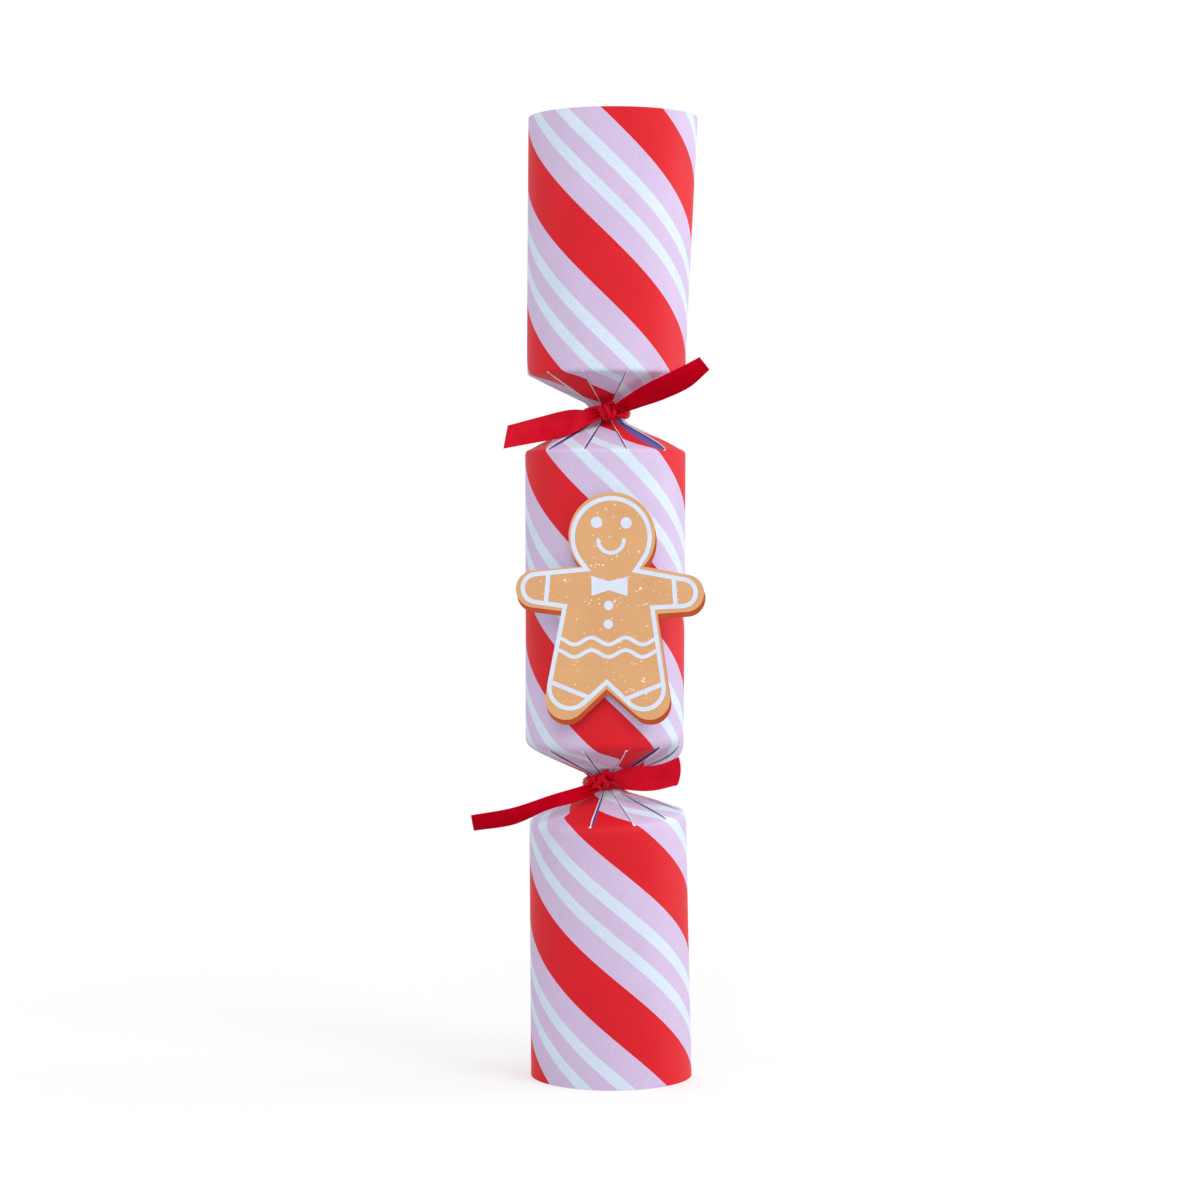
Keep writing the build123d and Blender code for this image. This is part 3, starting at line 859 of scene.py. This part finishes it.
def ribbon_tail(name, waist_z, upper, lower, lean, turn, wave, sides, bulge=0.0):
    """A flat ribbon end between two edges as seen from the front, gathered at the knot."""
    top = curve_through([Vector((x, waist_z + z, 0)) for x, z in upper])
    low = curve_through([Vector((x, waist_z + z, 0)) for x, z in lower])
    slope = tan(radians(lean))
    points, flat, faces = [], [], []
    length = 0.0
    last = None
    for i, (a, b) in enumerate(zip(top, low)):
        share = i / (len(top) - 1)
        middle = (a + b) / 2
        length += (middle - last).length if last else 0.0
        last = middle
        seen = (a - b).length
        full = GATHERED_W + (RIBBON_W - GATHERED_W) * smooth_step(0.0, SPREAD_SHARE, share)
        depth = sqrt(max(0.0, full * full - seen * seen)) * between(turn, share)
        gather = GATHER_DEPTH * (1 - smooth_step(0.0, GATHER_SHARE, share))
        sway = wave * sin(share * TAIL_WAVES)
        for c in spaced(0, 1, TAIL_STEPS):
            from_middle = (2 * c - 1) ** 2
            place = b.lerp(a, c)
            y = KNOT_Y - abs(middle.x) * slope - depth * (c - 0.5)
            y += gather * cos(2 * pi * GATHERS * c) + sway * (1 + 0.4 * (c - 0.5))
            y += TAIL_CUP * from_middle * smooth_step(0.2, 0.6, share)
            rounding = bulge * (1 - from_middle) * smooth_step(ROUND_SHARE, 1.0, share)
            points.append((place.x + rounding, y, place.y))
            flat.append((c * RIBBON_W, length))
    rows = [range(start, start + TAIL_STEPS + 1) for start in range(0, len(points), TAIL_STEPS + 1)]
    for near, far in zip(rows, rows[1:]):
        faces += zip(near, far, far[1:], near[1:])
    if upper[-1][0] < 0:
        faces = [face[::-1] for face in faces]
    return make_piece(name, points, faces, sides, TAIL_SHARP, None, ("Strip", flat), (RIBBON_T, 1, 0))


# Tails: lean towards the viewer, turn of the width towards the viewer along the way, wave, faces at the
# front and back, and the edges by place from the middle of the waist's front (across, up)
TAILS = {
    "upper_ribbon_tail_left": dict(
        lean=4, turn=((0, -0.8), (0.5, -0.5), (1, -0.5)), wave=0.3, sides=(SATIN, SATIN_BACK_SHADED),
        upper=[(-1, 1.6), (-5.8, 0.7), (-11.9, 0.6), (-21.2, -1.7), (-30.6, -4.2)],
        lower=[(-1, -1.8), (-7.3, -5), (-13.5, -7.9), (-21.6, -9.5), (-31.9, -11.4)],
    ),
    "upper_ribbon_tail_right": dict(
        lean=32, turn=((0, 0.8), (0.5, 0.8), (1, -0.6)), wave=0.2, sides=(SATIN_BACK_SHADED, SATIN),
        upper=[(1.5, 1.6), (6.6, 4.9), (13.6, 8.8), (21.4, 12.5), (28.2, 16)],
        lower=[(2.5, -1.2), (9.5, 1), (18, 3.7), (25.5, 7.1), (30.9, 11.9)],
    ),
    "lower_ribbon_tail_left": dict(
        lean=20, turn=((0, -0.6), (0.3, -0.6), (0.7, 0.9), (1, 0.9)), wave=0.3,
        sides=(SATIN_BACK_SHADED, SATIN),
        upper=[(-1.5, 2.6), (-6.4, 0.5), (-16.5, -2.1), (-29, -5.7), (-41.3, -7.5)],
        lower=[(-1, -1), (-8.4, -4.3), (-18, -6.9), (-28.5, -11.2), (-40.7, -12.7)],
    ),
    "lower_ribbon_tail_right": dict(
        lean=18, turn=((0, 0.5), (1, 0.5)), wave=0.2, sides=(SATIN, SATIN_BACK_SHADED), bulge=0.8,
        upper=[(-0.5, 4), (2.6, 4.6), (7.6, 6.2), (15.6, 6.9), (22.2, 9.5)],
        lower=[(-0.2, 1.6), (2.6, 0), (6.2, -1.1), (14, -1.1), (21.8, 0.8)],
    ),
}

# Rolls of the knots: points from the middle of the waist's front (across, to the viewer, up), radius
UPPER_KNOT = (
    ([(-3.2, -2.6, 0.3), (0, -2.3, 0), (3.4, -2.5, 0.1)], 2.3),
    ([(-2.2, -1.4, 0.2), (0, -1, 0), (2.4, -1, 0.2), (4.4, -1.2, 0.1)], 2),
    ([(-2.6, 0, 1.7), (-1.9, 0.8, 0.9), (-1.2, 1, -0.4), (-0.4, 0.5, -1.8), (0.2, -0.4, -2.4)], 1.05),
    ([(-0.6, 0.2, 2.4), (0.1, 1.3, 1.5), (0.7, 1.8, 0.1), (1.3, 1.5, -1.5), (1.5, 0.4, -2.6)], 0.9),
    ([(1.5, 0.7, -2.5), (2, 1.7, -1.3), (2.4, 1.7, 0.2), (2.6, 1, 1.5), (2.2, 0, 2.4)], 0.8),
    ([(1.6, 0.6, 0.9), (3.2, 1.3, 1.2), (4.9, 1.3, 0.9), (6, 0.9, 0), (5.6, 0.8, -0.9),
      (4.4, 1, -1.2), (2.8, 0.9, -1)], 0.85),
    ([(0.2, 0.4, 2.2), (1, 1, 2.7), (2, 0.9, 2.6), (2.9, 0.3, 1.9)], 0.6),
    ([(-1.2, 0.6, 1.3), (-3.2, 0.5, 1.5), (-5.4, 0.2, 1.2)], 0.42),
)
LOWER_KNOT = (
    ([(-4.2, -2.4, 0.2), (-1.6, -2.4, 1), (0.8, -2.6, 1.6)], 2.3),
    ([(-4.6, -1, 0.4), (-2.4, -1, 1.4), (0.2, -1.2, 2.4)], 2.2),
    ([(-5.6, 0.2, -0.4), (-5.4, 0.9, 1), (-4.4, 1.2, 2.2), (-3.2, 0.9, 2.6)], 0.95),
    ([(-5, 0.6, -1.2), (-3.8, 1.5, -0.2), (-2.6, 1.9, 1.2), (-1.4, 1.6, 2.8), (-0.4, 0.9, 4.2)], 0.85),
    ([(-4.4, 0.8, 2.4), (-3.4, 1.6, 1), (-2.4, 1.7, -0.2), (-1.6, 0.9, -1)], 0.75),
    ([(-2.6, 1, 3.4), (-1.4, 1.5, 2.6), (-0.4, 1.6, 1.4), (0.3, 1, 0.4)], 0.8),
    ([(-1.6, 0.5, 3.9), (-0.4, 1, 4.4), (0.8, 0.7, 3.8), (1.4, 0.1, 2.6)], 0.85),
)

ribbon_pieces = {
    "upper_ribbon_loop": ribbon_loop("upper_loop", UPPER_WAIST_Z),
    "lower_ribbon_loop": ribbon_loop("lower_loop", LOWER_WAIST_Z),
    "upper_ribbon_knot": ribbon_knot("upper_knot", UPPER_WAIST_Z, UPPER_KNOT),
    "lower_ribbon_knot": ribbon_knot("lower_knot", LOWER_WAIST_Z, LOWER_KNOT),
}
for node, tail in TAILS.items():
    waist_z = UPPER_WAIST_Z if node.startswith("upper") else LOWER_WAIST_Z
    ribbon_pieces[node] = ribbon_tail(node.replace("ribbon_", ""), waist_z, **tail)
for node, piece in ribbon_pieces.items():
    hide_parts(node)
    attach(piece, "centre")


# Gingerbread figure


def arc(x, z, radius, start, end):
    """Points on a circle, between two angles from +X towards +Z."""
    angles = [radians(a) for a in spaced(start, end, round(abs(end - start) / ARC_STEP_DEGREES))]
    return [Vector((x + radius * cos(a), z + radius * sin(a))) for a in angles]


def disc(x, z, radius):
    return arc(x, z, radius, 0, 360)[:-1]


def hull(points):
    """The line drawn tight round points."""
    return [points[i] for i in geometry.convex_hull_2d(points)]


def union(shapes):
    """The outer line of overlapping outlines."""
    points, loops = [], []
    for shape in shapes:
        loops.append(list(range(len(points), len(points) + len(shape))))
        points += shape
    places, _, cells, _, _, _ = geometry.delaunay_2d_cdt(points, [], loops, 1, 1e-5)
    sides = {side for cell in cells for side in zip(cell, shifted(cell))}
    following = {a: b for a, b in sides if (b, a) not in sides}
    start = max(following, key=lambda i: places[i].y)
    loop, at = [start], following[start]
    while at != start:
        loop.append(at)
        at = following[at]
    return [Vector(places[i]) for i in loop]


def inset(line, distance):
    """A closed line moved inwards."""
    moved = []
    for i, point in enumerate(line):
        before, after = line[i - 1], line[(i + 1) % len(line)]
        first = (point - before).normalized().orthogonal()
        second = (after - point).normalized().orthogonal()
        normal = first + second
        if normal.length < 1e-6:
            normal = first.copy()
        normal.normalize()
        lean = max(0.4, normal.dot(first))
        moved.append(point + normal * distance / lean)
    return moved


def inside(line, spot):
    """Whether a spot lies within a closed line."""
    found = False
    for a, b in zip(line, shifted(line)):
        if (a.y > spot.y) != (b.y > spot.y):
            if spot.x < (b.x - a.x) * (spot.y - a.y) / (b.y - a.y) + a.x:
                found = not found
    return found


class Plates:
    """Flat layers seen from the front, gathered into one mesh."""

    def __init__(self):
        self.points, self.faces, self.paints = [], [], []

    def ring(self, line, y):
        """Points of a closed line on the figure."""
        start = len(self.points)
        self.points += [(FIGURE_X + p.x, y, FIGURE_Z + p.y * FIGURE_STRETCH) for p in line]
        return list(range(start, start + len(line)))

    def wall(self, front, back, paint):
        """Faces between two rings."""
        self.faces += zip(front, back, shifted(back), shifted(front))
        self.paints += [paint] * len(front)

    def plate(self, line, front_y, back_y, paint, core=None, ease=0.0):
        """A layer, with an eased front edge and another paint at its sides and back if given."""
        core = paint if core is None else core
        face = self.ring(inset(line, ease) if ease else line, front_y)
        edge = self.ring(line, front_y + ease) if ease else face
        rear = self.ring(line, back_y)
        if ease:
            self.wall(face, edge, paint)
        self.wall(edge, rear, core)
        self.faces += [tuple(face), tuple(reversed(rear))]
        self.paints += [paint, core]

    def band(self, outer, inner, front_y, back_y, paint):
        """A closed line of even width."""
        lines = ((outer, front_y), (outer, back_y), (inner, back_y), (inner, front_y))
        rings = [self.ring(*line) for line in lines]
        for i in range(len(rings)):
            self.wall(rings[i - 1], rings[i], paint)


def wave(low_x, high_x, middle_z):
    """A wavy line across the body."""
    line = []
    for x in spaced(low_x, high_x, WAVE_STEPS):
        turn = 2 * pi * (x - WAVE_LOW_X) / WAVE_PERIOD
        line.append(Vector((x, middle_z - WAVE_RISE * cos(turn))))
    return line


def stroke(line, width):
    """The outline of an open line with round ends."""
    normals = [direction(line, i).normalized().orthogonal() * width / 2 for i in range(len(line))]
    right = [point - normal for point, normal in zip(line, normals)]
    left = [point + normal for point, normal in zip(line, normals)]

    def cap(end, start):
        turns = spaced(0, pi, CAP_STEPS)[1:-1]
        return [end + Matrix.Rotation(turn, 2) @ (start - end) for turn in turns]

    return [*right, *cap(line[-1], right[-1]), *reversed(left), *cap(line[0], left[0])]


LEFT_SHOULDER = Vector((-11.0, 12.2))
RIGHT_SHOULDER = Vector((11.0, 12.2))
LEFT_UNDERARM = Vector((-14.4, -1.1))
RIGHT_UNDERARM = Vector((14.4, -1.9))
CROTCH = Vector((-1.0, -24.5))
EDGE_SHIFT = Vector((0.4, -1.5))

face_line = union(
    [
        disc(0.6, 21.4, 13.2),
        [LEFT_SHOULDER, LEFT_UNDERARM, CROTCH, RIGHT_UNDERARM, RIGHT_SHOULDER],
        hull([*disc(-23.0, 5.6, 5.6), LEFT_SHOULDER, LEFT_UNDERARM]),
        hull([*disc(23.0, 4.3, 5.6), RIGHT_SHOULDER, RIGHT_UNDERARM]),
        hull([*disc(-13.4, -27.5, 6.3), LEFT_UNDERARM, CROTCH]),
        hull([*disc(12.0, -27.5, 6.3), RIGHT_UNDERARM, CROTCH]),
    ]
)
card_line = union([face_line, [p + EDGE_SHIFT for p in face_line]])

# Icing, from the middle of the figure: corners of the border, and its round stretches in between
LEFT_NECK = Vector((-7.0, 11.5))
RIGHT_NECK = Vector((7.7, 11.1))
RIGHT_ARMPIT = Vector((12.8, 0.0))
BORDER_CROTCH = Vector((-1.0, -22.4))
LEFT_ARMPIT = Vector((-13.7, 0.4))
border = [
    LEFT_NECK,
    *arc(0.35, 21.1, 11.7, 215, -34),
    RIGHT_NECK,
    *arc(22.0, 4.45, 4.0, 80, -87),
    RIGHT_ARMPIT,
    *arc(10.2, -24.5, 6.1, 9, -132),
    BORDER_CROTCH,
    *arc(-12.2, -24.1, 6.25, -50, -191),
    LEFT_ARMPIT,
    *arc(-22.3, 5.85, 4.2, -99, -264),
]
border.reverse()
CUFFS = ([(-18.7, 10.2), (-19.5, 1.4)], [(19.3, 8.9), (19.9, 0.4)])
FOOT_LINES = ([(-17.7, -22.6), (-6.4, -27.1)], [(15.8, -23.1), (4.6, -27.6)])
EYE_R = 1.72
BUTTON_R = 1.42
DISCS = ((-4.1, 25.6, EYE_R), (4.9, 25.4, EYE_R), (-0.4, 0.6, BUTTON_R), (-0.5, -5.0, BUTTON_R))
SMILE = (0.3, 20.3, 3.9)
SMILE_W = 1.15
BOW_TIE = [(-5.7, 9.5), (-0.3, 7.9), (5.4, 9.3), (5.3, 3.4), (-0.3, 5.2), (-5.6, 3.5)]
WAVES = ((-14.9, 13.8, -10.1), (-15.6, 14.6, -13.85))
WAVE_STEPS = 40
WAVE_W = 1.15
WAVE_PERIOD = 10.4
WAVE_RISE = 1.05
WAVE_LOW_X = -0.45

# Slots of the figure: printed edge, face, icing, flour and the card's cut sides
FIGURE_PAINTS = [BROWN, TAN, ICING, FLOUR, CORE]
EDGE_SLOT, FACE_SLOT, ICING_SLOT, FLOUR_SLOT, CORE_SLOT = range(len(FIGURE_PAINTS))

face_y = CARD_FRONT_Y - 0.04
icing_y = face_y - 0.07
line_y = face_y - 0.05
flour_y = face_y - 0.03
under_y = face_y + 0.02
figure = Plates()
figure.plate(card_line, CARD_FRONT_Y, CARD_BACK_Y, EDGE_SLOT, CORE_SLOT, CARD_EASE)
figure.plate(face_line, face_y, CARD_FRONT_Y + 0.05, FACE_SLOT)

figure.band(inset(border, -ICING_W / 2), inset(border, ICING_W / 2), icing_y, under_y, ICING_SLOT)
for pair in (*CUFFS, *FOOT_LINES):
    figure.plate(stroke([Vector(p) for p in pair], ICING_W), line_y, under_y, ICING_SLOT)
smile = stroke(arc(*SMILE, 180, 360), SMILE_W)
bow_tie = [Vector(p) for p in reversed(BOW_TIE)]
for outline in (*(disc(*row) for row in DISCS), smile, bow_tie):
    figure.plate(outline, icing_y, under_y, ICING_SLOT)
for row in WAVES:
    figure.plate(stroke(wave(*row), WAVE_W), line_y, under_y, ICING_SLOT)

# Flour: small uneven specks, in a few dustings and scattered singly
FLOUR_PATCHES = (
    (-4.7, 12.4), (-12.7, 8.2), (-6.2, 1.2), (8.8, 5.5),
    (10.1, -21.9), (6.1, -24.9), (0.8, 1.0), (10.3, 1.0),
)
PATCH_SPECKS = 6
PATCH_WIDTH = 0.9
PATCH_HEIGHT = 0.5
PATCH_SIZES = (0.12, 0.31)
SPECKS = 170
SPECK_SIZES = (0.1, 0.25)
SPECK_CORNERS = 6
SPECK_STRETCH = 1.3
SPECK_UNEVEN = (0.6, 1.3)
SPECK_STAGGER = 0.0001
FLOUR_ACROSS = (-22, 22)
FLOUR_UP = (-29, 31)
FLOUR_MARGIN = 2.6

chance = random.Random(11)
inner_line = inset(face_line, FLOUR_MARGIN)
specks = []
for x, z in FLOUR_PATCHES:
    for _ in range(PATCH_SPECKS):
        spot = Vector((x + chance.gauss(0, PATCH_WIDTH), z + chance.gauss(0, PATCH_HEIGHT)))
        specks.append((spot, chance.uniform(*PATCH_SIZES)))
while len(specks) < SPECKS:
    spot = Vector((chance.uniform(*FLOUR_ACROSS), chance.uniform(*FLOUR_UP)))
    if inside(inner_line, spot):
        specks.append((spot, chance.uniform(*SPECK_SIZES)))
for number, (spot, size) in enumerate(specks):
    turn = chance.uniform(0, 6.28)
    outline = []
    for i in range(SPECK_CORNERS):
        angle = turn + 2 * pi * i / SPECK_CORNERS
        reach = size * chance.uniform(*SPECK_UNEVEN)
        outline.append(spot + Vector((reach * SPECK_STRETCH * cos(angle), reach * sin(angle))))
    figure.plate(outline, flour_y + SPECK_STAGGER * number, under_y, FLOUR_SLOT)

figure_piece = make_piece(
    "gingerbread_figure", figure.points, figure.faces, FIGURE_PAINTS, paints=figure.paints
)
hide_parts("gingerbread_card")
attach(figure_piece, "centre")


# Pieces that keep their solids

SNAP_CARD = paper("snap_card", rgb(214, 208, 196), rgb(200, 192, 178))
SNAP_GLUE = glue()
HAT_TISSUE = paper("hat_tissue", rgb(58, 128, 84), rgb(72, 142, 98), 9.0, 0.8, 0.25, 0.15)
NODE_FINISHES = {
    "figure_foam_pads": foam(),
    "snap_strip_top": SNAP_CARD,
    "snap_strip_bottom": SNAP_CARD,
    "snap_glue_top": SNAP_GLUE,
    "snap_glue_bottom": SNAP_GLUE,
    "snap_charge": composition(),
    "snap_band": paper("band_paper", rgb(238, 234, 226), rgb(228, 222, 212)),
    "paper_hat": HAT_TISSUE,
    "motto_slip": paper("motto_paper", rgb(240, 238, 232), rgb(232, 228, 220)),
    "gift_top_disc": wood("top_disc_wood", rgb(206, 54, 48), rgb(182, 38, 36), True),
    "gift_top_peg": wood("top_peg_wood", rgb(222, 184, 132), rgb(200, 156, 104)),
}
for node, material in NODE_FINISHES.items():
    for place in nodes[node].material_slots:
        place.material = material


# Floor, light and camera, in metres apart from the floor's corners

WHITE = grey(1.0)
FLOOR_Z = -0.0001
FLOOR_CORNERS = [(-6000, -6000, 0), (6000, -6000, 0), (6000, 6000, 0), (-6000, 6000, 0)]
FLOOR_BOUNCE = 0.55
FLOOR_GLOW = {"From Min": 0.04, "From Max": 0.32, "To Min": 0.45}
WORLD_LIGHT = 0.8
LAMP_TARGET = Vector((0, 0, 0.15))

f = Finish("floor", 0.1, {"Roughness": 0.9})
floor = make_piece("floor", FLOOR_CORNERS, [(0, 1, 2, 3)], [f.material])
floor.location = (0, 0, FLOOR_Z)
shown = f.shown()
pale = f.greys(f.noise(300.0, 2.0), (0.3, 0.93), (0.7, 0.95))
f.give(f.shader, {"Base Color": f.mix(shown, grey(FLOOR_BOUNCE), pale)})
reach = f.add("ShaderNodeVectorMath", {0: f.place()}, operation="LENGTH").outputs["Value"]
away = f.add("ShaderNodeMapRange", {"Value": reach, **FLOOR_GLOW}, interpolation_type="SMOOTHSTEP")
glow = f.add("ShaderNodeEmission", {"Color": WHITE, "Strength": 1.0})
f.choose(f.compute("MULTIPLY", shown, away.outputs["Result"]), f.shader, glow, "Material Output")

world = bpy.data.worlds.new("studio")
scene.world = world
world.use_nodes = True
sky = Nodes(world.node_tree)
lighting = sky.tree.nodes["Background"]
sky.give(lighting, {"Color": WHITE, "Strength": WORLD_LIGHT})
backdrop = sky.add("ShaderNodeBackground", {"Color": WHITE, "Strength": 1.0})
sky.choose(sky.shown(), lighting, backdrop, "World Output")


def stand(name, data, place, way):
    """A lamp or the camera at a place, facing one way."""
    holder = bpy.data.objects.new(name, data)
    holder.location = place
    holder.rotation_mode = "QUATERNION"
    holder.rotation_quaternion = way.to_track_quat("-Z", "Y")
    scene.collection.objects.link(holder)
    return holder


def softbox(name, place, size, power):
    """A square soft lamp aimed at the middle of the part."""
    lamp = bpy.data.lights.new(name, "AREA")
    lamp.shape = "SQUARE"
    lamp.size = size
    lamp.energy = power
    stand(name, lamp, place, LAMP_TARGET - Vector(place))


softbox("key", (0.9, -0.8, 0.9), 0.5, 5.0)
softbox("side", (1.2, 0.2, 0.3), 0.8, 6.0)
softbox("fill", (-1.1, -0.4, 0.3), 0.9, 1.5)
softbox("front", (-0.1, -1.25, 0.95), 0.7, 4.2)

CAMERA_DISTANCE = 0.860
CAMERA_RISE = radians(1.5)
CAMERA_TARGET = Vector((-0.00204, 0, 0.1495))
SENSOR_W = 36.0
PHOTO_PIXELS = 1200
METRES_PER_PIXEL = 0.000314
camera_data = bpy.data.cameras.new("camera")
camera_data.sensor_fit = "AUTO"
camera_data.sensor_width = SENSOR_W
camera_data.lens = SENSOR_W * CAMERA_DISTANCE / (PHOTO_PIXELS * METRES_PER_PIXEL)
camera_data.clip_start = 0.01
camera_data.clip_end = 50.0
back = Vector((0, -cos(CAMERA_RISE), sin(CAMERA_RISE)))
scene.camera = stand("camera", camera_data, CAMERA_TARGET + back * CAMERA_DISTANCE, -back)
